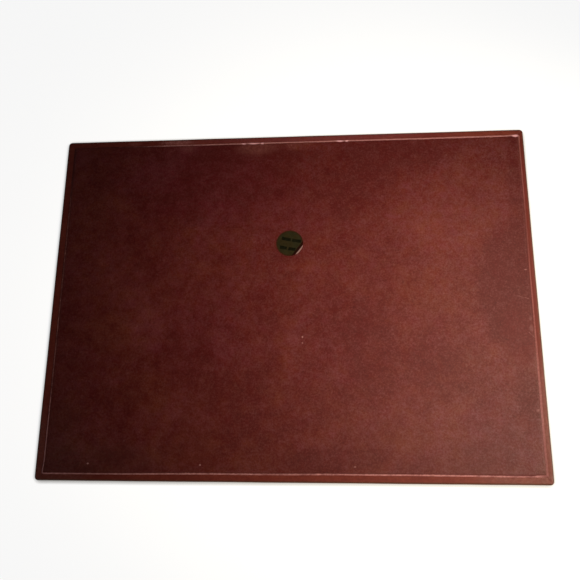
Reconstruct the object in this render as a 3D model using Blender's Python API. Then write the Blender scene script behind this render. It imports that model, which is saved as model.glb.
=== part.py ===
"""Desk mat: a stiff board wrapped in one leather sheet, with a leather lining inset on the upper face.

Frame: metres, +Z up, origin at the centre of the face that lies on the desk.
+X runs along the long side and +Y along the short side, away from the user.
Each piece keeps GLUE_GAP to its neighbours, the room that its glue film takes.
"""

from math import cos, pi, radians, sin, tan

import bmesh
import bpy
from mathutils import Vector

# The mat as a whole.
MAT_LENGTH = 0.450
MAT_DEPTH = 0.330
GLUE_GAP = 0.0003

# Cover: one leather sheet under the board, rolled over its edges and glued down on top.
LEATHER_THICKNESS = 0.0010
COVER_CORNER_RADIUS = 0.0035
ROLL_RADIUS = 0.0016
TURN_IN_WIDTH = 0.0160
TURN_IN_CORNER_RADIUS = 0.0004
MITRE_GAP = 0.0003

# Board and the card that fills the field between the turn-ins.
BOARD_THICKNESS = 0.0020
BOARD_EDGE_RADIUS = 0.0005
CARD_CORNER_RADIUS = 0.0005

# Lining: the inset leather panel, whose edge is skived to a thin bevel all round.
LINING_LENGTH = 0.4380
LINING_DEPTH = 0.3170
LINING_SHIFT_X = 0.0014
LINING_SHIFT_Y = -0.0003
LINING_THICKNESS = 0.0007
LINING_CORNER_RADIUS = 0.0008
SKIVED_WIDTH = 0.0011
SKIVED_EDGE_THICKNESS = 0.0003

# Round foil label near the lining's far side, with one segment creased and lifted.
LABEL_RADIUS = 0.0127
LABEL_THICKNESS = 0.00015
LABEL_SHIFT_X = 0.0008
LABEL_DISTANCE = 0.0525
LABEL_TURN = radians(-36.5)
LABEL_SIDES = 64
CREASE_DISTANCE = 0.87 * LABEL_RADIUS
CREASE_LIFT = radians(9.0)

CORNER_SEGMENTS = 6
ROLL_SEGMENTS = 5

# Heights of the layers, from the desk up.
BOARD_BOTTOM = LEATHER_THICKNESS + GLUE_GAP
BOARD_TOP = BOARD_BOTTOM + BOARD_THICKNESS
TURN_IN_BOTTOM = BOARD_TOP + GLUE_GAP
COVER_HEIGHT = TURN_IN_BOTTOM + LEATHER_THICKNESS
LINING_BOTTOM = COVER_HEIGHT + GLUE_GAP
LINING_TOP = LINING_BOTTOM + LINING_THICKNESS
LABEL_BOTTOM = LINING_TOP + GLUE_GAP


def clear_scene():
    for leftover in list(bpy.data.objects):
        bpy.data.objects.remove(leftover, do_unlink=True)


def make_material(name, color, roughness, metallic=0.0):
    material = bpy.data.materials.new(name)
    material.use_nodes = True
    shader = material.node_tree.nodes["Principled BSDF"]
    shader.inputs["Base Color"].default_value = (*color, 1.0)
    shader.inputs["Roughness"].default_value = roughness
    shader.inputs["Metallic"].default_value = metallic
    material.diffuse_color = (*color, 1.0)
    return material


def add_object(name, mesh_builder, material):
    """Turn a bmesh into a named object with outward faces and smooth rolls."""
    bmesh.ops.recalc_face_normals(mesh_builder, faces=mesh_builder.faces)
    mesh = bpy.data.meshes.new(name)
    mesh_builder.to_mesh(mesh)
    mesh_builder.free()
    mesh.materials.append(material)
    mesh.shade_smooth()
    mesh.set_sharp_from_angle(angle=radians(35))
    piece = bpy.data.objects.new(name, mesh)
    bpy.context.scene.collection.objects.link(piece)
    return piece


def rounded_rectangle(length, depth, radius, z):
    """Points of a rectangle with round corners, counter-clockwise at height z."""
    points = []
    corners = ((1, 1, 0.0), (-1, 1, 0.5 * pi), (-1, -1, pi), (1, -1, 1.5 * pi))
    for side_x, side_y, first_angle in corners:
        centre = Vector((side_x * (length / 2 - radius), side_y * (depth / 2 - radius), z))
        for step in range(CORNER_SEGMENTS + 1):
            angle = first_angle + 0.5 * pi * step / CORNER_SEGMENTS
            points.append(centre + radius * Vector((cos(angle), sin(angle), 0.0)))
    return points


def loft(rings):
    """Closed body through the rings in turn, with a flat face on the first and the last."""
    body = bmesh.new()
    loops = [[body.verts.new(point) for point in ring] for ring in rings]
    for lower, upper in zip(loops, loops[1:]):
        for index in range(len(lower)):
            following = (index + 1) % len(lower)
            body.faces.new((lower[index], lower[following], upper[following], upper[index]))
    body.faces.new(reversed(loops[0]))
    body.faces.new(loops[-1])
    return body


def edge_roll(z_centre, radius, first_angle, last_angle):
    """Steps round a rolled edge: each is the way in from the side face and the height."""
    steps = []
    for step in range(ROLL_SEGMENTS + 1):
        angle = first_angle + (last_angle - first_angle) * step / ROLL_SEGMENTS
        steps.append((radius * (1.0 - cos(angle)), z_centre + radius * sin(angle)))
    return steps


def mat_ring(inset, z, least_radius):
    """The mat's outline moved inwards, at height z."""
    radius = max(COVER_CORNER_RADIUS - inset, least_radius)
    return rounded_rectangle(MAT_LENGTH - 2 * inset, MAT_DEPTH - 2 * inset, radius, z)


def cover_profile():
    """The leather's section: under the board, out round its edge, in on top, and back inside."""
    outside = edge_roll(ROLL_RADIUS, ROLL_RADIUS, -0.5 * pi, 0.0)
    outside += edge_roll(COVER_HEIGHT - ROLL_RADIUS, ROLL_RADIUS, 0.0, 0.5 * pi)
    inner_radius = ROLL_RADIUS - LEATHER_THICKNESS
    inside = edge_roll(COVER_HEIGHT - ROLL_RADIUS, inner_radius, 0.5 * pi, 0.0)
    inside += edge_roll(ROLL_RADIUS, inner_radius, 0.0, -0.5 * pi)
    inside = [(LEATHER_THICKNESS + inset, z) for inset, z in inside]
    turn_in_edge = [(TURN_IN_WIDTH, COVER_HEIGHT), (TURN_IN_WIDTH, TURN_IN_BOTTOM)]
    return outside + turn_in_edge + inside


def mitre_cutter(side_x, side_y):
    """A thin upright blade along the diagonal where two turn-ins meet at a corner."""
    inner_end = TURN_IN_WIDTH + 4 * MITRE_GAP
    outer_end = ROLL_RADIUS + COVER_CORNER_RADIUS * (1.0 - cos(0.25 * pi))
    along = Vector((side_x, side_y, 0.0)).normalized()
    across = Vector((-along.y, along.x, 0.0)) * MITRE_GAP / 2
    blade = bmesh.new()
    outline = []
    for inset, side in ((inner_end, -1), (outer_end, -1), (outer_end, 1), (inner_end, 1)):
        foot = Vector((side_x * (MAT_LENGTH / 2 - inset), side_y * (MAT_DEPTH / 2 - inset), 0.0))
        outline.append(foot + side * across)
    low = [blade.verts.new(point + Vector((0, 0, TURN_IN_BOTTOM - MITRE_GAP))) for point in outline]
    high = [blade.verts.new(point + Vector((0, 0, COVER_HEIGHT + MITRE_GAP))) for point in outline]
    for index in range(4):
        following = (index + 1) % 4
        blade.faces.new((low[index], low[following], high[following], high[index]))
    blade.faces.new(reversed(low))
    blade.faces.new(high)
    return blade


def make_cover(material):
    rings = [mat_ring(inset, z, TURN_IN_CORNER_RADIUS) for inset, z in cover_profile()]
    cover = add_object("cover_leather", loft(rings), material)
    for side_x in (-1, 1):
        for side_y in (-1, 1):
            cutter = add_object("mitre_cutter", mitre_cutter(side_x, side_y), material)
            cutter.hide_render = True
            cutter.display_type = "WIRE"
            cut = cover.modifiers.new("mitre", "BOOLEAN")
            cut.operation = "DIFFERENCE"
            cut.object = cutter
    return cover


def make_board(material):
    inset = LEATHER_THICKNESS + GLUE_GAP
    profile = edge_roll(BOARD_BOTTOM + BOARD_EDGE_RADIUS, BOARD_EDGE_RADIUS, -0.5 * pi, 0.0)
    profile += edge_roll(BOARD_TOP - BOARD_EDGE_RADIUS, BOARD_EDGE_RADIUS, 0.0, 0.5 * pi)
    rings = [mat_ring(inset + way_in, z, BOARD_EDGE_RADIUS) for way_in, z in profile]
    return add_object("core_board", loft(rings), material)


def make_card(material):
    """The card is as thick as the leather, so its top is flush with the turn-ins."""
    inset = TURN_IN_WIDTH + GLUE_GAP
    rings = [mat_ring(inset, z, CARD_CORNER_RADIUS) for z in (TURN_IN_BOTTOM, COVER_HEIGHT)]
    return add_object("infill_card", loft(rings), material)


def make_lining(material):
    rings = []
    edge_z = LINING_BOTTOM + SKIVED_EDGE_THICKNESS
    for inset, z in ((0.0, LINING_BOTTOM), (0.0, edge_z), (SKIVED_WIDTH, LINING_TOP)):
        length = LINING_LENGTH - 2 * inset
        depth = LINING_DEPTH - 2 * inset
        rings.append(rounded_rectangle(length, depth, LINING_CORNER_RADIUS, z))
    lining = add_object("lining_panel", loft(rings), material)
    lining.location = (LINING_SHIFT_X, LINING_SHIFT_Y, 0.0)
    return lining


def make_label(material):
    """A thin disc, modelled with its crease at right angles to its own X axis."""
    half_chord = (LABEL_RADIUS**2 - CREASE_DISTANCE**2) ** 0.5
    crease_angle = Vector((CREASE_DISTANCE, half_chord)).angle(Vector((1.0, 0.0)))
    label = bmesh.new()
    layers = []
    for z in (0.0, LABEL_THICKNESS):
        flat_arc = []
        for step in range(LABEL_SIDES + 1):
            angle = crease_angle + (2 * pi - 2 * crease_angle) * step / LABEL_SIDES
            point = (LABEL_RADIUS * cos(angle), LABEL_RADIUS * sin(angle), z)
            flat_arc.append(label.verts.new(point))
        lifted_arc = []
        lifted_sides = LABEL_SIDES // 5
        for step in range(1, lifted_sides):
            angle = -crease_angle + 2 * crease_angle * step / lifted_sides
            x = LABEL_RADIUS * cos(angle)
            lift = (x - CREASE_DISTANCE) * tan(CREASE_LIFT)
            lifted_arc.append(label.verts.new((x, LABEL_RADIUS * sin(angle), z + lift)))
        layers.append((flat_arc, lifted_arc))
    for flat_arc, lifted_arc in layers:
        label.faces.new(flat_arc)
        label.faces.new([flat_arc[-1], *lifted_arc, flat_arc[0]])
    low, high = [flat_arc + lifted_arc for flat_arc, lifted_arc in layers]
    for index in range(len(low)):
        following = (index + 1) % len(low)
        label.faces.new((low[index], low[following], high[following], high[index]))
    piece = add_object("round_label", label, material)
    piece.location = (LABEL_SHIFT_X, LABEL_DISTANCE, LABEL_BOTTOM)
    piece.rotation_euler.z = LABEL_TURN
    return piece


def main():
    clear_scene()
    make_cover(make_material("cover_leather", (0.19, 0.040, 0.024), 0.48))
    make_board(make_material("core_board", (0.30, 0.27, 0.23), 0.90))
    make_card(make_material("infill_card", (0.42, 0.38, 0.31), 0.85))
    make_lining(make_material("lining_leather", (0.13, 0.026, 0.020), 0.55))
    make_label(make_material("label_foil", (0.20, 0.17, 0.08), 0.38, metallic=0.6))


main()
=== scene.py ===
"""Looks of the leather desk mat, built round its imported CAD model.

Everything is in metres in the mat's own frame: +X along the long side, +Y along the short side
away from the user, +Z up, with the origin on the desk under the mat's centre.
"""

from math import cos, exp, pi, radians, sin, sqrt, tan

import bmesh
import bpy
from mathutils import Matrix, Vector, noise


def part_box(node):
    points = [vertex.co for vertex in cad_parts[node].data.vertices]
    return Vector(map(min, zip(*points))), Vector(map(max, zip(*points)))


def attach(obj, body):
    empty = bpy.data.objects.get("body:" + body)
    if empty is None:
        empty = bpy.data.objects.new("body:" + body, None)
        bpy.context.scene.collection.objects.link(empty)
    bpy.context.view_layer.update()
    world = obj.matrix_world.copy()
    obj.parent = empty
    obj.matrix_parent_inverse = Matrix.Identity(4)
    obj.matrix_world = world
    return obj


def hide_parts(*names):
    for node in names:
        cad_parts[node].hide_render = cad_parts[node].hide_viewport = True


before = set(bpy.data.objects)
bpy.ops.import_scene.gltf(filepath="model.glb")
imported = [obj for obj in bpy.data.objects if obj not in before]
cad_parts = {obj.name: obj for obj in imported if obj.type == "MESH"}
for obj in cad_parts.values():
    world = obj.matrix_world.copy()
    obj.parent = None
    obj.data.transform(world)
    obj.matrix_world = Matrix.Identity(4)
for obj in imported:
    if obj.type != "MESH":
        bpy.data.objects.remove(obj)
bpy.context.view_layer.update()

MM = 0.001

# Camera: where it looks, from where, and how far it is turned about its own line of sight.
CAMERA_AIM = Vector((0.0015, 0.0067, 0.0057))
CAMERA_AZIMUTH = radians(16.3)
CAMERA_ELEVATION = radians(74.1)
CAMERA_DISTANCE = 0.624
CAMERA_ROLL = radians(-16.4)
CAMERA_LENS_MM = 41.84

# Cover leather: its thickness, its roll round the board's edge and the width turned in on top.
LEATHER = 1.0 * MM
COVER_CORNER = 3.5 * MM
ROLL = 1.8 * MM
TURN_IN = 16.0 * MM
TURN_IN_RINGS = (3.4 * MM, 5.0 * MM, 7.0 * MM, 9.5 * MM, 12.5 * MM, TURN_IN)
ROLL_STEPS = 8
# Grid cells along X and Y, here and in the pieces below.
COVER_CELLS = (112, 82)
# The skin of leather that counts as the turn-ins' top, and how far in it starts.
TOP_SKIN = 0.4 * LEATHER
TOP_START = 0.3 * MM
# How far in from the sides the rolls are uneven.
ROLL_REACH = 2.0 * ROLL
# The mitred seam at each corner.
SEAM_DEPTH = 0.12 * MM
SEAM_WIDTH = 0.14 * MM

# Lining leather: its gap over the cover, and how far above the cover its unevenness starts.
LINING_CORNER = 0.8 * MM
LINING_CELLS = (144, 104)
LINING_GAP = 0.02 * MM
LINING_FOOT = 0.10 * MM
# From the cut edge inwards: the rippled skive, and where the swell reaches its full height.
SKIVE_START = 0.6 * MM
SKIVE_END = 2.2 * MM
SWELL_FADE = 6.0 * MM
# Its section from the cut edge inwards, as distance in and drop below its top, in millimetres.
LINING_SECTION = (
    (0.00, 0.72),
    (0.10, 0.56),
    (0.35, 0.44),
    (0.80, 0.33),
    (1.10, 0.26),
    (1.30, 0.26),
    (1.55, 0.21),
    (1.90, 0.14),
    (2.50, 0.06),
    (3.50, 0.00),
)

# Label: how far its underside and its top stand above the lining, its turn about its middle,
# and the segment beyond its crease.
LABEL_GAP = 0.015 * MM
LABEL_TOP = 0.12 * MM
LABEL_CELLS = (48, 24)
# The share of a column cut off at either end, where the disc would shrink to a point.
LABEL_END = 0.02
LABEL_TURN = radians(-36.5)
CREASE_SHARE = 0.87
CREASE_LIFT = radians(9.0)
CREASE_DEPTH = 0.05 * MM
CREASE_WIDTH = 0.35 * MM

# Unevenness of the pieces, as the height, wavelength and seed of each ripple.
TURN_IN_RIPPLES = ((0.05 * MM, 22.0 * MM, 3.1),)
ROLL_RIPPLES = ((0.12 * MM, 32.0 * MM, 7.7), (0.03 * MM, 13.0 * MM, 1.3))
LINING_RIPPLES = ((0.09 * MM, 55.0 * MM, 5.2), (0.03 * MM, 14.0 * MM, 9.4))
SKIVE_RIPPLES = ((0.05 * MM, 3.5 * MM, 2.2),)
EDGE_RIPPLES = ((0.13 * MM, 5.0 * MM, 4.8), (0.10 * MM, 40.0 * MM, 8.3))
LABEL_RIPPLES = ((0.03 * MM, 7.0 * MM, 6.6),)

# Two rows of plain bars on the label, as centre and half length in millimetres from the label's
# middle, in axes turned by MARK_TURN.
MARK_TURN = radians(-11.0)
MARK_HALF_HEIGHT = 1.6
MARKS = (
    ((-3.9, 3.5), 4.4),
    ((6.1, 3.5), 4.4),
    ((-5.0, -5.3), 3.5),
    ((3.2, -5.3), 3.5),
)

# Wear, in millimetres in the mat's frame. A patch is full out to PATCH_CORE of its half axes and
# fades to nothing at their ends.
PATCH_CORE = 0.3
# Where the lining is lighter or darker, as centre, half axes and change.
LIGHTER_DARKER_PATCHES = (
    ((140.0, 70.0), (60.0, 52.0), 0.20),
    ((152.0, 112.0), (26.0, 26.0), 0.18),
    ((25.0, 24.0), (20.0, 17.0), 0.12),
    ((-60.0, 28.0), (70.0, 22.0), 0.10),
    ((-157.0, -2.0), (36.0, 80.0), 0.12),
    ((-132.0, -32.0), (28.0, 26.0), 0.20),
    ((-170.0, -62.0), (24.0, 26.0), 0.14),
    ((-116.0, -112.0), (24.0, 42.0), 0.12),
    ((111.0, -111.0), (62.0, 46.0), 0.16),
    ((186.0, -62.0), (24.0, 26.0), 0.22),
    ((6.0, 154.0), (34.0, 8.0), 0.40),
    ((95.0, 155.0), (60.0, 7.0), 0.18),
    ((-110.0, 96.0), (58.0, 32.0), -0.12),
    ((-45.0, 132.0), (110.0, 46.0), -0.24),
    ((50.0, 104.0), (44.0, 40.0), -0.18),
    ((74.0, -50.0), (30.0, 60.0), -0.22),
    ((-97.0, -49.0), (40.0, 44.0), -0.10),
    ((-50.0, -78.0), (56.0, 44.0), -0.26),
    ((-90.0, -124.0), (30.0, 26.0), -0.18),
    ((18.0, -148.0), (52.0, 18.0), -0.22),
    ((-28.0, -120.0), (46.0, 32.0), -0.22),
    ((70.0, -142.0), (26.0, 18.0), -0.22),
    ((128.0, -62.0), (40.0, 54.0), -0.18),
    ((169.0, -143.0), (34.0, 18.0), -0.16),
    ((204.0, 6.0), (40.0, 72.0), -0.80),
    ((213.0, -92.0), (22.0, 36.0), -0.32),
    ((214.0, 90.0), (12.0, 110.0), -0.22),
    ((92.0, 138.0), (90.0, 38.0), -0.32),
)
# The same for the lining's hue, where more is purpler and less is more orange.
HUES = (
    ((-85.0, 120.0), (90.0, 60.0), 0.95),
    ((190.0, -118.0), (50.0, 56.0), 0.50),
    ((-15.0, 88.0), (70.0, 45.0), 0.35),
    ((-75.0, -35.0), (70.0, 50.0), 0.45),
    ((45.0, -40.0), (60.0, 60.0), 0.30),
    ((-168.0, -32.0), (34.0, 28.0), -0.60),
    ((-130.0, -88.0), (34.0, 26.0), -0.70),
    ((-190.0, 95.0), (34.0, 60.0), -0.25),
    ((130.0, 5.0), (70.0, 32.0), -0.25),
    ((-60.0, -138.0), (90.0, 26.0), -0.30),
)
# Smudges on the lining, as centre, half axes, share and colour.
SMUDGED = (0.20, 0.062, 0.055)
BROWNED = (0.090, 0.052, 0.040)
REDDENED = (0.105, 0.0020, 0.0020)
PANEL_PATCHES = (
    ((-33.0, 153.0), (28.0, 11.0), 0.38, SMUDGED),
    ((3.0, 153.5), (9.0, 7.0), 0.14, SMUDGED),
    ((-102.0, 155.0), (11.0, 8.0), 0.22, SMUDGED),
    ((-175.0, -150.0), (90.0, 26.0), 0.11, BROWNED),
    ((-205.0, -125.0), (26.0, 50.0), 0.08, BROWNED),
    ((208.0, -38.0), (24.0, 40.0), 0.22, REDDENED),
)
# How much of the lining's pale skived edge shows in the mean, and where it is more or less.
LINE_WEAR = 0.50
LINE_PATCHES = (
    ((70.0, 158.0), (240.0, 24.0), 0.58),
    ((190.0, 158.0), (60.0, 12.0), 0.60),
    ((-120.0, -158.0), (150.0, 30.0), 0.25),
    ((120.0, -158.0), (130.0, 30.0), 0.15),
    ((-217.0, -140.0), (20.0, 60.0), 0.60),
    ((-217.0, 60.0), (20.0, 120.0), -0.14),
    ((-225.0, 170.0), (110.0, 90.0), -0.60),
)
# Where that line shows evenly, with how much of it shows there: a painted highlight along the
# rounded right edge, over its pale skive.
RIGHT_EDGE_HIGHLIGHT = (
    ((219.0, -20.0), (8.0, 300.0), 0.27),
    ((219.0, 72.0), (8.0, 60.0), 0.11),
    ((219.0, 125.0), (8.0, 60.0), 0.22),
    ((219.0, -98.0), (8.0, 50.0), 0.34),
)
# The line's colour, and where it is tan instead.
PALE = (0.42, 0.178, 0.188)
TAN = (0.40, 0.140, 0.125)
LINE_COLORS = (
    ((219.0, 80.0), (8.0, 190.0), 1.0, TAN),
    ((-217.0, 60.0), (8.0, 220.0), 1.0, TAN),
)
# How far the lining's hand-cut edge runs outside a straight line, in millimetres.
EDGE_SHIFTS = (
    ((-185.0, -158.0), (110.0, 12.0), 0.7),
    ((85.0, -158.0), (110.0, 12.0), -0.4),
    ((60.0, 158.0), (330.0, 12.0), 0.2),
    ((190.0, 158.0), (60.0, 12.0), 0.3),
    ((219.0, -140.0), (14.0, 60.0), -0.2),
    ((219.0, 130.0), (14.0, 120.0), 0.6),
)
# How far in from the edge the lining gives way to those shifts.
EDGE_REACH = 8.0 * MM
# Where the pale line is wider than elsewhere, as a change of the distance in from the edge.
WIDE_LINE = (
    ((219.0, -110.0), (14.0, 110.0), -0.60),
    ((60.0, 158.0), (330.0, 12.0), -0.25),
    ((190.0, 158.0), (60.0, 12.0), -0.25),
)
# Rubbed stretches of the far line, as place along it and half length.
RUBBED = ((-45.5, 2.8), (-35.5, 7.0), (-27.2, 2.1), (49.3, 4.8), (55.9, 2.2), (216.8, 4.2))
RUBBED_HALF_WIDTH = 1.8
RUBBED_INSET = 0.5
RUBBED_COLOR = (0.76, 0.39, 0.47)
# The cover's rim: where it is painted lighter, as light along its far side, or darker, as shade
# along its right side, and where it has another colour: scuffs, and a painted reflection of the sky
# along the far side.
RIM_LIGHT_AND_SHADE = (
    ((195.0, 163.0), (70.0, 12.0), 0.50),
    ((20.0, 163.0), (120.0, 12.0), 0.12),
    ((222.0, 20.0), (10.0, 230.0), -0.42),
)
SCUFFED = (0.34, 0.20, 0.19)
# A painted reflection of the sky, plum, on the far rim that faces away from the lamp.
SKY_REFLECTION_PLUM = (0.19, 0.060, 0.095)
RIM_PATCHES = (
    ((20.0, 163.0), (170.0, 10.0), 0.22, SKY_REFLECTION_PLUM),
    ((-156.0, 161.0), (10.0, 2.4), 0.12, PALE),
    ((-113.0, 161.0), (24.0, 3.4), 0.34, PALE),
    ((-200.0, -160.0), (34.0, 14.0), 0.08, SCUFFED),
    ((-223.0, -135.0), (8.0, 50.0), 0.10, SCUFFED),
    ((205.0, -161.0), (60.0, 10.0), 0.10, SCUFFED),
    ((223.0, -110.0), (8.0, 70.0), 0.11, SCUFFED),
)
# Small pale specks, as centre, half axes and share.
SPECKS = (
    ((-176.7, -150.1), (1.2, 1.0), 0.90),
    ((-76.0, -150.7), (1.2, 1.0), 0.65),
    ((58.8, -151.3), (1.2, 1.0), 0.35),
    ((215.9, -103.2), (1.8, 1.8), 0.17),
    ((215.8, 23.3), (1.7, 0.8), 0.30),
    ((216.7, -31.0), (2.4, 4.6), 0.11),
    ((216.4, -22.0), (1.8, 3.6), 0.07),
    ((13.2, -37.6), (1.1, 1.2), 0.55),
    ((13.2, -43.1), (1.1, 1.1), 0.36),
)
SPECK_COLOR = (0.42, 0.21, 0.22)
# Dark pores; the same colour is the painted shade in the lining grain's creases.
PORE_AND_CREASE_SHADE = (0.045, 0.0022, 0.0022)
# Scratches, as centre, half length and angle in degrees.
SCRATCH_HALF_WIDTH = 0.25
SCRATCH_SHARE = 0.24
SCRATCHES = (
    ((212.0, -2.6), 5.4, -16.0),
    ((216.4, -36.9), 3.4, -47.0),
    ((-1.0, 153.5), 2.6, -58.0),
    ((2.4, 152.8), 3.0, -62.0),
    ((6.2, 152.2), 2.4, -64.0),
)

# Where a band along an edge starts and where it is full, in millimetres in from that edge.
LINE_BAND = (1.50, 1.05)
SHADOW_BAND = (2.8, 1.4)
EDGE_SHADE_BAND = (2.1, 0.7)
LABEL_RIM_WIDTH = 2.2
# How far the painted shade of the fold lies before the label's crease, and how far behind it the
# paper starts.
CREASE_SHADE_REACH = (2.8, 1.9)
PAPER_REACH = (0.05, 0.40)

# Colours in linear red, green and blue, from dark to light or from one end to the other.
LINING_TONES = ((0.074, 0.0036, 0.0026), (0.137, 0.0235, 0.0225))
LINING_TINTS = ((1.0, 1.10, 0.66), (1.0, 0.90, 1.38))
# How strongly the grain shows in the lining's colour, at its left end and at its right end; it
# carries painted glints of sheen on the pebbles, hence the strong green and blue.
GRAIN_AND_GLINT_CONTRASTS = ((0.054, 0.030, 0.031), (0.050, 0.036, 0.045))
LEFT_END, RIGHT_END = -160.0, 200.0
SHADOWED = (0.060, 0.0028, 0.0024)
COVER_TONES = ((0.112, 0.0140, 0.0100), (0.180, 0.0335, 0.0220))
# Painted shade for the cover grain's creases.
COVER_CREASE_SHADE = (0.070, 0.0080, 0.0060)
# The rolled edge's darker colour: partly edge dye, partly painted shade.
EDGE_DYE_AND_SHADE = (0.064, 0.0270, 0.0120)
FOIL_TONES = ((0.035, 0.0285, 0.0105), (0.076, 0.061, 0.0235))
FOIL_TINTS = ((1.10, 0.98, 0.92), (0.92, 1.02, 1.08))
FOIL_MARK = (0.008, 0.009, 0.003)
FOIL_RIM = (0.082, 0.024, 0.010)
# Painted shade in the band before the label's crease.
CREASE_SHADE_ON_LABEL = (0.032, 0.0036, 0.0025)
LABEL_PAPER = (0.30, 0.18, 0.18)
BOARD_TONES = ((0.20, 0.18, 0.15), (0.34, 0.31, 0.27))
CARD_TONES = ((0.42, 0.37, 0.28), (0.58, 0.53, 0.44))

# Studio: the lamp's place, aim, size and power, and the floor and what lies behind it.
LAMP_PLACE = Vector((0.555, -0.13, 0.50))
LAMP_AIM = Vector((0.14, -0.02, 0.0))
LAMP_SIZE = (0.39, 0.30)
LAMP_SPREAD = radians(34)
LAMP_POWER = 0.90
LAMP_COLOR = (1.0, 0.88, 0.65)
DIM_LIGHT = 0.07
BACKDROP_GREY = 0.91
FLOOR_HALF_SIDE = 4.0
FLOOR_DROP = 0.05 * MM
# The floor's painted shadow: how far round the mat it reaches, how sharply it fades, and its
# darkest grey.
FLOOR_SHADE_REACH = 4 * MM
FLOOR_SHADE_POWER = 2.4
FLOOR_SHADE = (0.15, 0.15, 0.15)
FLOOR_GLOW = (0.90, 0.90, 0.90)

ARC_STEPS = 12
LEAST_CORNER = 0.3 * MM
SHARP_ANGLE = radians(50)
ROOT = "root"


# ---------------------------------------------------------------- shapes


def ring_points(half_x, half_y, corner, inset, z, cells_x, cells_y):
    """Points round a rectangle with round corners, moved in by inset, counter-clockwise."""
    reach = max(corner, inset + LEAST_CORNER)
    radius = reach - inset
    centre_x, centre_y = half_x - reach, half_y - reach
    corners = ((1, 1, 0.0), (-1, 1, 0.5 * pi), (-1, -1, pi), (1, -1, 1.5 * pi))
    points = []
    for number, (side_x, side_y, start) in enumerate(corners):
        centre = Vector((side_x * centre_x, side_y * centre_y, z))
        for step in range(ARC_STEPS + 1):
            angle = start + 0.5 * pi * step / ARC_STEPS
            points.append(centre + radius * Vector((cos(angle), sin(angle), 0.0)))
        next_x, next_y, next_start = corners[(number + 1) % 4]
        turn = Vector((cos(next_start), sin(next_start), 0.0))
        goal = Vector((next_x * centre_x, next_y * centre_y, z)) + radius * turn
        cells = cells_x if number % 2 == 0 else cells_y
        begin = points[-1]
        points += [begin.lerp(goal, step / cells) for step in range(1, cells)]
    return points


def closed_sheet(half_x, half_y, corner, section, cells):
    """Vertices and faces of a closed sheet: a grid, rings round its edge, and a grid again."""
    cells_x, cells_y = cells
    vertices, faces = [], []

    def add_grid(inset, z):
        reach = max(corner, inset + LEAST_CORNER)
        first = len(vertices)
        for row in range(cells_y + 1):
            for column in range(cells_x + 1):
                x = (half_x - reach) * (2.0 * column / cells_x - 1.0)
                y = (half_y - reach) * (2.0 * row / cells_y - 1.0)
                vertices.append(Vector((x, y, z)))
        return lambda column, row: first + row * (cells_x + 1) + column

    def fill(grid, ring):
        for row in range(cells_y):
            for column in range(cells_x):
                a, b = grid(column, row), grid(column + 1, row)
                c, d = grid(column + 1, row + 1), grid(column, row + 1)
                faces.append((a, b, c, d))
        sides = (
            [grid(cells_x - step, cells_y) for step in range(cells_x + 1)],
            [grid(0, cells_y - step) for step in range(cells_y + 1)],
            [grid(step, 0) for step in range(cells_x + 1)],
            [grid(cells_x, step) for step in range(cells_y + 1)],
        )
        position = 0
        for side in sides:
            for _ in range(ARC_STEPS):
                faces.append((side[0], ring[position], ring[position + 1]))
                position += 1
            for step in range(len(side) - 1):
                outer = ring[position], ring[(position + 1) % len(ring)]
                faces.append((side[step], *outer, side[step + 1]))
                position += 1

    low_grid = add_grid(*section[0])
    rings = []
    for inset, z in section:
        first = len(vertices)
        vertices.extend(ring_points(half_x, half_y, corner, inset, z, cells_x, cells_y))
        rings.append(list(range(first, len(vertices))))
    high_grid = add_grid(*section[-1])
    fill(low_grid, rings[0])
    fill(high_grid, rings[-1])
    for lower, upper in zip(rings, rings[1:]):
        for index in range(len(lower)):
            following = (index + 1) % len(lower)
            faces.append((lower[index], lower[following], upper[following], upper[index]))
    return vertices, faces


def add_piece(name, vertices, faces, material):
    """A smooth-shaded object with outward faces and the finish of a material slot."""
    mesh = bpy.data.meshes.new(name)
    mesh.from_pydata(vertices, [], faces)
    builder = bmesh.new()
    builder.from_mesh(mesh)
    bmesh.ops.recalc_face_normals(builder, faces=builder.faces)
    builder.to_mesh(mesh)
    builder.free()
    mesh.materials.append(material)
    mesh.shade_smooth()
    mesh.set_sharp_from_angle(angle=SHARP_ANGLE)
    piece = bpy.data.objects.new(name, mesh)
    bpy.context.scene.collection.objects.link(piece)
    return piece


def rippled(x, y, ripples):
    """The height of smooth ripples that repeat nowhere on the mat, up or down."""
    return sum(
        height * noise.noise(Vector((x / wavelength, y / wavelength, seed)))
        for height, wavelength, seed in ripples
    )


def push_in(point, way_to_side_x, way_to_side_y, push):
    """Move a point away from the side that it is nearest to."""
    if way_to_side_x < way_to_side_y:
        point.x -= push * (1 if point.x > 0 else -1)
    else:
        point.y -= push * (1 if point.y > 0 else -1)


def roll_steps(z_centre, radius, inset, first, last):
    """A rolled edge as (inset, z) steps, from angle first to last above the side's normal."""
    steps = []
    for step in range(ROLL_STEPS + 1):
        angle = first + (last - first) * step / ROLL_STEPS
        steps.append((inset + radius * (1.0 - cos(angle)), z_centre + radius * sin(angle)))
    return steps


def cover_section(height):
    """The leather's section: out under the board, round its edge, in on top, and back inside."""
    inner = ROLL - LEATHER
    section = roll_steps(ROLL, ROLL, 0.0, -0.5 * pi, 0.0)
    section += roll_steps(height - ROLL, ROLL, 0.0, 0.0, 0.5 * pi)
    section += [(inset, height) for inset in TURN_IN_RINGS]
    section.append((TURN_IN, height - LEATHER))
    section += roll_steps(height - ROLL, inner, LEATHER, 0.5 * pi, 0.0)
    section += roll_steps(ROLL, inner, LEATHER, 0.0, -0.5 * pi)
    return section


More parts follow.
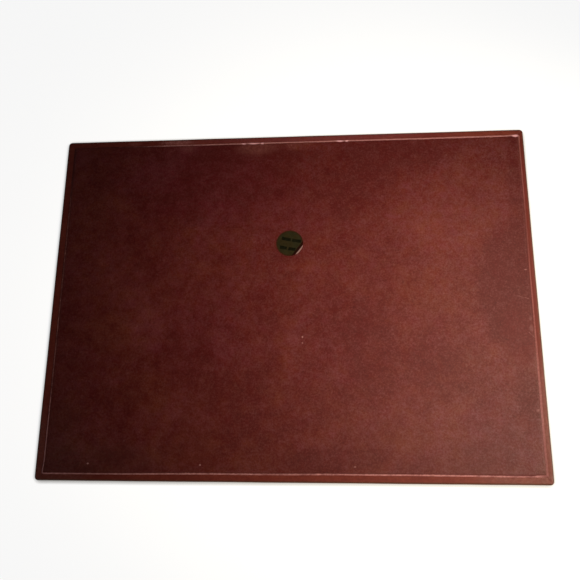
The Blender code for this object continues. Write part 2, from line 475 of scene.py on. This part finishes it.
def make_cover(material):
    """The wrapped leather, with its turn-ins, mitred seams and slightly uneven rolls."""
    low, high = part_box("cover_leather")
    half_x, half_y = (high.x - low.x) / 2, (high.y - low.y) / 2
    height = high.z - low.z
    section = cover_section(height)
    vertices, faces = closed_sheet(half_x, half_y, COVER_CORNER, section, COVER_CELLS)
    for point in vertices:
        x, y = point.x, point.y
        inset_x, inset_y = half_x - abs(x), half_y - abs(y)
        way_in = min(inset_x, inset_y)
        if point.z > height - TOP_SKIN and way_in > TOP_START:
            from_diagonal = (inset_x - inset_y) / sqrt(2)
            point.z -= SEAM_DEPTH * exp(-((from_diagonal / SEAM_WIDTH) ** 2))
            point.z += rippled(x, y, TURN_IN_RIPPLES)
        if way_in < ROLL_REACH:
            push_in(point, inset_x, inset_y, rippled(x, y, ROLL_RIPPLES))
    return add_piece("leather_cover", vertices, faces, material)


def patch_share(x, y, centre, size):
    """1 about centre, falling to 0 on an ellipse, for x and y in metres and a patch in mm."""
    reach = sqrt(((x / MM - centre[0]) / size[0]) ** 2 + ((y / MM - centre[1]) / size[1]) ** 2)
    share = min(1.0, max(0.0, (1.0 - reach) / (1.0 - PATCH_CORE)))
    return share * share * (3.0 - 2.0 * share)


def make_lining(material):
    """The inset panel, skived round its hand-cut edge and gently uneven on top."""
    low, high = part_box("lining_panel")
    cover_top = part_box("cover_leather")[1].z
    half_x, half_y = (high.x - low.x) / 2, (high.y - low.y) / 2
    section = [(0.0, cover_top + LINING_GAP)]
    section += [(inset * MM, high.z - drop * MM) for inset, drop in LINING_SECTION]
    vertices, faces = closed_sheet(half_x, half_y, LINING_CORNER, section, LINING_CELLS)
    centre = (low + high) / 2
    for point in vertices:
        x, y = point.x, point.y
        inset_x, inset_y = half_x - abs(x), half_y - abs(y)
        way_in = min(inset_x, inset_y)
        if point.z > cover_top + LINING_FOOT:
            point.z += rippled(x, y, LINING_RIPPLES) * min(1.0, way_in / SWELL_FADE)
            if SKIVE_START < way_in < SKIVE_END:
                point.z += rippled(x, y, SKIVE_RIPPLES)
        if way_in < EDGE_REACH:
            push = rippled(x, y, EDGE_RIPPLES) if way_in < SKIVE_END else 0.0
            for place, size, shift in EDGE_SHIFTS:
                share = patch_share(x, y, place, size)
                push -= shift * MM * share * (1.0 - way_in / EDGE_REACH)
            push_in(point, inset_x, inset_y, push)
        point.x += centre.x
        point.y += centre.y
    return add_piece("leather_lining", vertices, faces, material)


def label_radius():
    """Half the label's width, from its CAD solid."""
    low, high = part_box("round_label")
    return (high.y - low.y) / 2


def make_label(material):
    """A thin disc in its own frame, where X runs at right angles to the crease."""
    low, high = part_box("round_label")
    centre = (low + high) / 2
    radius = label_radius()
    lining_low, lining_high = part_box("lining_panel")
    lining_centre = (lining_low + lining_high) / 2
    crease = CREASE_SHARE * radius
    columns, rows = LABEL_CELLS
    turned = Matrix.Rotation(LABEL_TURN, 3, "Z")
    layers = []
    for stand in (LABEL_GAP, LABEL_TOP):
        layer = []
        for column in range(columns + 1):
            x = -radius * cos(pi * (column + LABEL_END) / (columns + 2 * LABEL_END))
            half_chord = sqrt(radius**2 - x**2)
            for row in range(rows + 1):
                y = half_chord * sin(pi * (row / rows - 0.5))
                place = turned @ Vector((x, y, 0.0)) + centre
                on_lining = (place.x - lining_centre.x, place.y - lining_centre.y)
                z = rippled(*on_lining, LINING_RIPPLES)
                z += stand + rippled(x, y, LABEL_RIPPLES)
                z += max(0.0, x - crease) * tan(CREASE_LIFT)
                z -= CREASE_DEPTH * exp(-(((x - crease) / CREASE_WIDTH) ** 2))
                layer.append(Vector((x, y, z)))
        layers.append(layer)
    vertices = layers[0] + layers[1]
    top = len(layers[0])
    faces = []
    for column in range(columns):
        for row in range(rows):
            a = column * (rows + 1) + row
            b = a + rows + 1
            faces.append((a, a + 1, b + 1, b))
            faces.append((top + a, top + b, top + b + 1, top + a + 1))
    rim = [column * (rows + 1) for column in range(columns + 1)]
    rim += [columns * (rows + 1) + row for row in range(1, rows + 1)]
    rim += [column * (rows + 1) + rows for column in range(columns - 1, -1, -1)]
    rim += [row for row in range(rows - 1, 0, -1)]
    for index, a in enumerate(rim):
        b = rim[(index + 1) % len(rim)]
        faces.append((a, b, top + b, top + a))
    label = add_piece("foil_label", vertices, faces, material)
    label.location = (centre.x, centre.y, lining_high.z)
    label.rotation_euler.z = LABEL_TURN
    return label


# ---------------------------------------------------------------- materials


class Nodes:
    """Short calls for building one material's node tree. Sizes are in millimetres."""

    def __init__(self, name):
        self.material = bpy.data.materials.new(name)
        self.material.use_nodes = True
        self.tree = self.material.node_tree
        self.shader = self.tree.nodes["Principled BSDF"]
        coordinates = self.add("TexCoord").outputs["Object"]
        scaled = self.add("VectorMath", {0: coordinates, "Scale": 1.0 / MM}, operation="SCALE")
        self.place = scaled.outputs["Vector"]
        moved = self.add("VectorMath", {0: self.place, 1: (137.3, 71.9, 23.7)}, operation="ADD")
        self.noise_place = moved.outputs["Vector"]

    def add(self, kind, inputs=None, **settings):
        node = self.tree.nodes.new("ShaderNode" + kind)
        for name, value in settings.items():
            setattr(node, name, value)
        for name, value in (inputs or {}).items():
            self.feed(node.inputs[name], value)
        return node

    def feed(self, socket, value):
        if isinstance(value, bpy.types.NodeSocket):
            self.tree.links.new(value, socket)
        else:
            socket.default_value = value

    def math(self, operation, first, second=0.0, third=0.0):
        inputs = {0: first, 1: second, 2: third}
        return self.add("Math", inputs, operation=operation).outputs[0]

    def noise(self, size, detail=2.0, roughness=0.5, distortion=0.0):
        inputs = {
            "Vector": self.noise_place,
            "Scale": 1.0 / size,
            "Detail": detail,
            "Roughness": roughness,
            "Distortion": distortion,
        }
        return self.add("TexNoise", inputs).outputs["Fac"]

    def cells(self, size, feature, place=None):
        inputs = {"Vector": place or self.place, "Scale": 1.0 / size}
        return self.add("TexVoronoi", inputs, feature=feature).outputs["Distance"]

    def turned(self, angle, place=None):
        """The place in axes turned counter-clockwise by angle."""
        inputs = {"Vector": place or self.place, "Angle": -angle}
        return self.add("VectorRotate", inputs, rotation_type="Z_AXIS").outputs[0]

    def step(self, value, low, high, out_low=0.0, out_high=1.0):
        """A smooth step of value from out_low at low to out_high at high."""
        inputs = {0: value, 1: low, 2: high, 3: out_low, 4: out_high}
        node = self.add("MapRange", inputs, interpolation_type="SMOOTHSTEP")
        return node.outputs[0]

    def blend(self, share, first, second, blend_type="MIX"):
        """Colours mixed by share, 0 for the first and 1 for the second."""
        node = self.add("Mix", data_type="RGBA", blend_type=blend_type)
        self.feed(node.inputs[0], share)
        for socket, value in ((node.inputs[6], first), (node.inputs[7], second)):
            self.feed(socket, (*value, 1.0) if isinstance(value, tuple) else value)
        return node.outputs[2]

    def split(self, place=None):
        return self.add("SeparateXYZ", {0: place or self.place}).outputs

    def warped(self, size, amount):
        """The place, pushed about by noise of that size, by up to about amount."""
        pushed = self.add("TexNoise", {"Vector": self.noise_place, "Scale": 1.0 / size})
        middle = {0: pushed.outputs["Color"], 1: (0.5, 0.5, 0.5)}
        from_middle = self.add("VectorMath", middle, operation="SUBTRACT").outputs[0]
        inputs = {0: from_middle, 1: (2 * amount,) * 3, 2: self.place}
        return self.add("VectorMath", inputs, operation="MULTIPLY_ADD").outputs[0]

    def way_inside(self, value, middle, half_width):
        """How far a value is inside the nearer end of a span."""
        from_middle = self.math("ABSOLUTE", self.math("SUBTRACT", value, middle))
        return self.math("SUBTRACT", half_width, from_middle)

    def edge_distance(self, centre, half_x, half_y, place=None):
        """How far a point is inside a rectangle's nearest side."""
        x, y, _ = self.split(place)
        from_x = self.way_inside(x, centre[0], half_x)
        from_y = self.way_inside(y, centre[1], half_y)
        return self.math("MINIMUM", from_x, from_y)

    def patch(self, centre, size):
        """1 about centre, falling to 0 on an ellipse of those half axes."""
        moved = self.add("VectorMath", {0: self.place, 1: (*centre, 0.0)}, operation="SUBTRACT")
        flat = (1.0 / size[0], 1.0 / size[1], 0.0)
        shrunk = self.add("VectorMath", {0: moved.outputs[0], 1: flat}, operation="MULTIPLY")
        length = self.add("VectorMath", {0: shrunk.outputs[0]}, operation="LENGTH")
        return self.step(length.outputs["Value"], 1.0, PATCH_CORE)

    def shifted(self, value, patches):
        """The value, changed by each patch's amount where that patch is."""
        for centre, size, change in patches:
            value = self.math("MULTIPLY_ADD", self.patch(centre, size), change, value)
        return value

    def patched(self, color, patches, uneven):
        """The colour with each patch's own colour laid over it, unevenly."""
        for centre, size, share, tone in patches:
            share = self.math("MULTIPLY", self.patch(centre, size), share)
            color = self.blend(self.math("MULTIPLY", share, uneven), color, tone)
        return color

    def shaded(self, color, amount, change):
        """The colour plus amount times change, but never black."""
        changed = self.add("VectorMath", {0: amount, 1: change, 2: color}, operation="MULTIPLY_ADD")
        kept_up = {0: changed.outputs[0], 1: (0.01, 0.001, 0.001)}
        return self.add("VectorMath", kept_up, operation="MAXIMUM").outputs[0]

    def flecks(self, size, reach, share):
        """1 in small spots about that far apart, where a slow noise is above 1 - share."""
        spots = self.cells(size, "F1", self.warped(0.6 * size, 0.18 * size))
        present = self.step(self.noise(0.9 * size, 1.0), 1.0 - share, 1.08 - share)
        return self.math("MULTIPLY", self.step(spots, reach, 0.4 * reach), present)

    def bar(self, place, centre, half_x, half_y):
        """1 inside a small soft-edged rectangle."""
        way_in = self.edge_distance(centre, half_x, half_y, place)
        return self.step(way_in, -0.2, 0.3)

    def bump(self, height, depth, normal=None):
        """A bump of that depth in millimetres for a height from 0 to 1."""
        inputs = {"Height": height, "Distance": depth * MM, "Strength": 1.0}
        if normal:
            inputs["Normal"] = normal
        return self.add("Bump", inputs).outputs["Normal"]

    def finish(self, color, roughness, normal=None, **constants):
        self.feed(self.shader.inputs["Base Color"], color)
        self.feed(self.shader.inputs["Roughness"], roughness)
        if normal:
            self.feed(self.shader.inputs["Normal"], normal)
        for name, value in constants.items():
            self.shader.inputs[name.replace("_", " ")].default_value = value
        return self.material


def leather_grain(nodes, pebble, crease_depth, pore_depth):
    """Normal of grained leather: pebbles parted by creases, with pores and fine fibre on top."""
    wandering = nodes.warped(2.2 * pebble, 0.55 * pebble)
    creases = nodes.step(nodes.cells(pebble, "DISTANCE_TO_EDGE", wandering), 0.0, 0.22)
    soft = nodes.noise(3.5 * pebble, 3.0)
    height = nodes.math("MULTIPLY", creases, nodes.step(soft, 0.3, 0.6, 0.45, 1.0))
    normal = nodes.bump(height, crease_depth)
    fibre = nodes.noise(0.28 * pebble, 3.0, 0.6)
    return nodes.bump(fibre, pore_depth, normal), height


def centred(nodes, size):
    """Noise of that size, about 0."""
    return nodes.math("SUBTRACT", nodes.noise(size, 2.0, 0.7), 0.5)


def mottled(nodes, tones, parts, patches):
    """Colour between a dark and a light tone, by noises of (size, weight) and by patches."""
    share = 0.3
    for size, weight in parts:
        share = nodes.math("MULTIPLY_ADD", centred(nodes, size), weight, share)
    return nodes.blend(nodes.shifted(share, patches), *tones)


def line_wear_and_highlight(nodes):
    """How much of the pale line shows along the edge, from 0 to about 1: worn pale skive, set even
    along the right side as a painted highlight.
    """
    share = nodes.math("MULTIPLY_ADD", nodes.noise(6.0, 3.0, 0.7), 1.2, LINE_WEAR - 0.6)
    share = nodes.step(nodes.shifted(share, LINE_PATCHES), 0.0, 1.0)
    flicker = nodes.step(nodes.noise(2.2, 2.0, 0.7), 0.3, 0.7, 0.74, 1.16)
    # Along the right side the line is set even: a painted highlight on the rounded edge.
    for centre, size, level in RIGHT_EDGE_HIGHLIGHT:
        change = nodes.math("SUBTRACT", level, share)
        share = nodes.math("MULTIPLY_ADD", nodes.patch(centre, size), change, share)
    return nodes.math("MULTIPLY", share, flicker)


def lining_body(nodes, height):
    """The lining's mottled colour, with its grain and painted glints, pores, painted shade in the
    grain's creases, and smudges.
    """
    x = nodes.split()[0]
    parts = (
        (42.0, nodes.step(x, LEFT_END, RIGHT_END, 1.10, 0.75)),
        (13.0, nodes.step(x, LEFT_END, RIGHT_END, 1.15, 0.60)),
    )
    color = mottled(nodes, LINING_TONES, parts, LIGHTER_DARKER_PATCHES)
    hue = nodes.math("MULTIPLY_ADD", centred(nodes, 9.0), 1.8, 0.42)
    hue = nodes.math("MULTIPLY_ADD", centred(nodes, 23.0), 1.2, hue)
    tint = nodes.blend(nodes.shifted(hue, HUES), *LINING_TINTS)
    color = nodes.blend(1.0, color, tint, "MULTIPLY")
    grain = nodes.math("MULTIPLY", centred(nodes, 4.5), 0.75)
    grain = nodes.math("MULTIPLY_ADD", centred(nodes, 1.6), 1.6, grain)
    # The grain's own colour with painted glints of sheen, set for each end's light.
    contrast = nodes.blend(nodes.step(x, LEFT_END, RIGHT_END), *GRAIN_AND_GLINT_CONTRASTS)
    color = nodes.shaded(color, grain, contrast)
    pores = nodes.math("MULTIPLY", nodes.flecks(3.4, 0.34, 0.55), 0.24)
    color = nodes.blend(pores, color, PORE_AND_CREASE_SHADE)
    dust = nodes.math("MULTIPLY", nodes.flecks(5.3, 0.26, 0.42), 0.06)
    color = nodes.blend(dust, color, SPECK_COLOR)
    # Painted shade in the grain's creases, darker the lower they lie.
    color = nodes.blend(nodes.step(height, 0.0, 0.5, 0.22, 0.0), color, PORE_AND_CREASE_SHADE)
    streaks = nodes.step(nodes.noise(2.4, 2.0, 0.6, 0.4), 0.3, 0.7, 0.6, 1.4)
    return nodes.patched(color, PANEL_PATCHES, streaks)


def with_marks(nodes, color, far_edge):
    """The colour with the far line's rubbed stretches, the pale specks and the scratches."""
    for place, length in RUBBED:
        rubbed = nodes.patch((place, far_edge - RUBBED_INSET), (length, RUBBED_HALF_WIDTH))
        color = nodes.blend(rubbed, color, RUBBED_COLOR)
    for place, size, share in SPECKS:
        speck = nodes.math("MULTIPLY", nodes.patch(place, size), share)
        color = nodes.blend(speck, color, SPECK_COLOR)
    faint = nodes.step(nodes.noise(2.8), 0.35, 0.65, 0.2 * SCRATCH_SHARE, SCRATCH_SHARE)
    for place, half_length, angle in SCRATCHES:
        along = nodes.turned(radians(angle))
        from_place = Matrix.Rotation(radians(-angle), 2) @ Vector(place)
        line = nodes.bar(along, from_place, half_length, SCRATCH_HALF_WIDTH)
        color = nodes.blend(nodes.math("MULTIPLY", line, faint), color, SPECK_COLOR)
    return color


def lining_material():
    """Mottled leather with wear, and the pale line round its edge."""
    low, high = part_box("lining_panel")
    centre = ((low + high) / 2 / MM)[:2]
    half_x, half_y = (high.x - low.x) / 2 / MM, (high.y - low.y) / 2 / MM
    nodes = Nodes("lining_leather")
    normal, height = leather_grain(nodes, 1.1, 0.045, 0.025)
    color = lining_body(nodes, height)
    way_in = nodes.edge_distance(centre, half_x, half_y, nodes.warped(1.8, 0.30))
    way_in = nodes.shifted(way_in, EDGE_SHIFTS)
    shadowed = nodes.step(way_in, *SHADOW_BAND)
    color = nodes.blend(nodes.math("MULTIPLY", shadowed, 0.6), color, SHADOWED)
    # The pale line: the worn pale skive, with a painted highlight along the right side.
    pale = nodes.step(nodes.shifted(way_in, WIDE_LINE), *LINE_BAND)
    pale = nodes.math("MULTIPLY", pale, line_wear_and_highlight(nodes))
    color = nodes.blend(pale, color, nodes.patched(PALE, LINE_COLORS, 1.0))
    color = with_marks(nodes, color, high.y / MM)
    roughness = nodes.step(nodes.noise(14.0, 3.0), 0.3, 0.7, 0.46, 0.58)
    roughness = nodes.math("MULTIPLY_ADD", nodes.math("MAXIMUM", pale, shadowed), 0.25, roughness)
    return nodes.finish(color, roughness, normal, Specular_IOR_Level=0.30)


def cover_material():
    """Smoother, redder leather, darker where it rolls round the edge: partly burnished edge dye,
    partly painted shade.
    """
    low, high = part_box("cover_leather")
    half_x, half_y = high.x / MM, high.y / MM
    nodes = Nodes("cover_leather")
    normal, height = leather_grain(nodes, 0.8, 0.030, 0.015)
    parts = ((30.0, 0.9), (9.0, 0.7), (2.5, 1.2))
    # Painted light along the far rim and painted shade along the right rim, laid into the leather's
    # mottle.
    color = mottled(nodes, COVER_TONES, parts, RIM_LIGHT_AND_SHADE)
    rim_patchiness = nodes.step(nodes.noise(2.4, 3.0, 0.6), 0.3, 0.7, 0.5, 1.5)
    # Scuffs, and the painted plum reflection along the far rim.
    color = nodes.patched(color, RIM_PATCHES, rim_patchiness)
    # Painted shade in the grain's creases.
    color = nodes.blend(nodes.step(height, 0.0, 0.5, 0.3, 0.0), color, COVER_CREASE_SHADE)
    way_in = nodes.edge_distance((0.0, 0.0), half_x, half_y, nodes.warped(5.0, 0.25))
    # Darker towards the cover's outer edge: edge dye, with painted shade on the roll.
    edge_shade = nodes.step(way_in, *EDGE_SHADE_BAND, 0.0, 0.75)
    color = nodes.blend(edge_shade, color, EDGE_DYE_AND_SHADE)
    roughness = nodes.step(nodes.noise(10.0, 3.0), 0.3, 0.7, 0.44, 0.56)
    return nodes.finish(color, roughness, normal, Specular_IOR_Level=0.2)


def label_material():
    """Dull foil with worn bars on it, painted shade in a band before its crease, and pale paper on
    its lifted segment.
    """
    nodes = Nodes("label_foil")
    x = nodes.split()[0]
    foil = nodes.blend(nodes.noise(4.0, 3.0, 0.6), *FOIL_TONES)
    tint = nodes.blend(nodes.step(nodes.noise(5.5), 0.35, 0.65), *FOIL_TINTS)
    foil = nodes.blend(1.0, foil, tint, "MULTIPLY")
    along = nodes.turned(MARK_TURN - LABEL_TURN, nodes.warped(2.6, 0.45))
    print_wear = nodes.step(nodes.noise(3.0, 2.0), 0.35, 0.65, 0.76, 0.92)
    for place, half_length in MARKS:
        mark = nodes.bar(along, place, half_length, MARK_HALF_HEIGHT)
        foil = nodes.blend(nodes.math("MULTIPLY", mark, print_wear), foil, FOIL_MARK)
    radius = label_radius() / MM
    from_centre = nodes.add("VectorMath", {0: nodes.place}, operation="LENGTH").outputs["Value"]
    rim = nodes.step(from_centre, radius - LABEL_RIM_WIDTH, radius, 0.0, 0.6)
    foil = nodes.blend(rim, foil, FOIL_RIM)
    crease = CREASE_SHARE * radius
    # A band of painted shade just before the crease.
    crease_shade = nodes.step(x, *(crease - reach for reach in CREASE_SHADE_REACH), 0.0, 0.9)
    foil = nodes.blend(crease_shade, foil, CREASE_SHADE_ON_LABEL)
    paper = nodes.step(x, *(crease + reach for reach in PAPER_REACH))
    color = nodes.blend(paper, foil, LABEL_PAPER)
    nodes.feed(nodes.shader.inputs["Metallic"], nodes.step(paper, 0.0, 1.0, 0.8, 0.0))
    roughness = nodes.step(nodes.noise(2.0, 3.0), 0.3, 0.7, 0.34, 0.46)
    normal = nodes.bump(nodes.noise(1.2, 3.0), 0.02)
    return nodes.finish(color, roughness, normal)


def board_material(name, tones, fibre):
    """Pulp board: matte, with fibres and specks in its colour and its surface."""
    nodes = Nodes(name)
    pulp = nodes.noise(fibre, 4.0, 0.7, 1.5)
    color = nodes.blend(nodes.step(pulp, 0.3, 0.7), *tones)
    specks = nodes.step(nodes.cells(2.5 * fibre, "F1"), 0.12, 0.05)
    color = nodes.blend(specks, color, tuple(0.5 * tone for tone in tones[0]))
    return nodes.finish(color, nodes.step(pulp, 0.2, 0.8, 0.82, 0.95), nodes.bump(pulp, 0.04))


# ---------------------------------------------------------------- studio


def make_floor():
    """A pale floor that glows evenly, with a painted soft shadow where the mat stands over it."""
    mesh = bpy.data.meshes.new("studio_floor")
    side = FLOOR_HALF_SIDE
    corners = [(-side, -side, 0.0), (side, -side, 0.0), (side, side, 0.0), (-side, side, 0.0)]
    mesh.from_pydata(corners, [], [(0, 1, 2, 3)])
    floor = bpy.data.objects.new("studio_floor", mesh)
    bpy.context.scene.collection.objects.link(floor)
    floor.location.z = -FLOOR_DROP
    nodes = Nodes("studio_floor")
    # Painted shadow: the glow is dimmed where the mat hides the sky.
    open_sky = nodes.add("AmbientOcclusion", {"Distance": FLOOR_SHADE_REACH}).outputs["AO"]
    open_sky = nodes.math("POWER", open_sky, FLOOR_SHADE_POWER)
    nodes.finish((0.30, 0.30, 0.30, 1.0), 0.9, Emission_Strength=1.0)
    glow = nodes.blend(open_sky, FLOOR_SHADE, FLOOR_GLOW)
    nodes.feed(nodes.shader.inputs["Emission Color"], glow)
    mesh.materials.append(nodes.material)


def make_lamp():
    """One soft lamp over the right end."""
    lamp = bpy.data.lights.new("key_softbox", "AREA")
    lamp.shape = "RECTANGLE"
    lamp.size, lamp.size_y = LAMP_SIZE
    lamp.energy = LAMP_POWER
    lamp.spread = LAMP_SPREAD
    lamp.color = LAMP_COLOR
    holder = bpy.data.objects.new("key_softbox", lamp)
    bpy.context.scene.collection.objects.link(holder)
    holder.visible_camera = False
    holder.location = LAMP_PLACE
    holder.rotation_euler = (LAMP_AIM - LAMP_PLACE).to_track_quat("-Z", "Y").to_euler()


def make_world():
    """A dim world that looks white behind the floor."""
    world = bpy.data.worlds.new("studio")
    world.use_nodes = True
    tree = world.node_tree
    dim = tree.nodes["Background"]
    dim.inputs["Color"].default_value = (1.0, 1.0, 1.0, 1.0)
    dim.inputs["Strength"].default_value = DIM_LIGHT
    backdrop = tree.nodes.new("ShaderNodeBackground")
    backdrop.inputs["Color"].default_value = (BACKDROP_GREY,) * 3 + (1.0,)
    choice = tree.nodes.new("ShaderNodeMixShader")
    ray = tree.nodes.new("ShaderNodeLightPath")
    tree.links.new(ray.outputs["Is Camera Ray"], choice.inputs[0])
    tree.links.new(dim.outputs[0], choice.inputs[1])
    tree.links.new(backdrop.outputs[0], choice.inputs[2])
    tree.links.new(choice.outputs[0], tree.nodes["World Output"].inputs["Surface"])
    bpy.context.scene.world = world


def make_camera():
    """The camera at the photo's viewing angle."""
    camera = bpy.data.cameras.new("camera")
    camera.sensor_width = 36.0
    camera.lens = CAMERA_LENS_MM
    camera.clip_start = 0.01
    holder = bpy.data.objects.new("camera", camera)
    bpy.context.scene.collection.objects.link(holder)
    turned = Matrix.Rotation(CAMERA_AZIMUTH, 3, "Z")
    tipped = Matrix.Rotation(0.5 * pi - CAMERA_ELEVATION, 3, "X")
    axes = turned @ tipped @ Matrix.Rotation(CAMERA_ROLL, 3, "Z")
    holder.rotation_euler = axes.to_euler()
    holder.location = CAMERA_AIM + CAMERA_DISTANCE * (axes @ Vector((0.0, 0.0, 1.0)))
    bpy.context.scene.camera = holder


def main():
    cover = make_cover(cover_material())
    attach(cover, ROOT)
    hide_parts("cover_leather")
    lining = make_lining(lining_material())
    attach(lining, ROOT)
    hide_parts("lining_panel")
    label = make_label(label_material())
    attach(label, ROOT)
    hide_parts("round_label")
    for node, material in (
        ("core_board", board_material("core_board", BOARD_TONES, fibre=0.6)),
        ("infill_card", board_material("infill_card", CARD_TONES, fibre=0.4)),
    ):
        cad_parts[node].data.materials.clear()
        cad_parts[node].data.materials.append(material)
    make_floor()
    make_lamp()
    make_world()
    make_camera()
    bpy.context.scene.view_settings.view_transform = "Standard"


main()
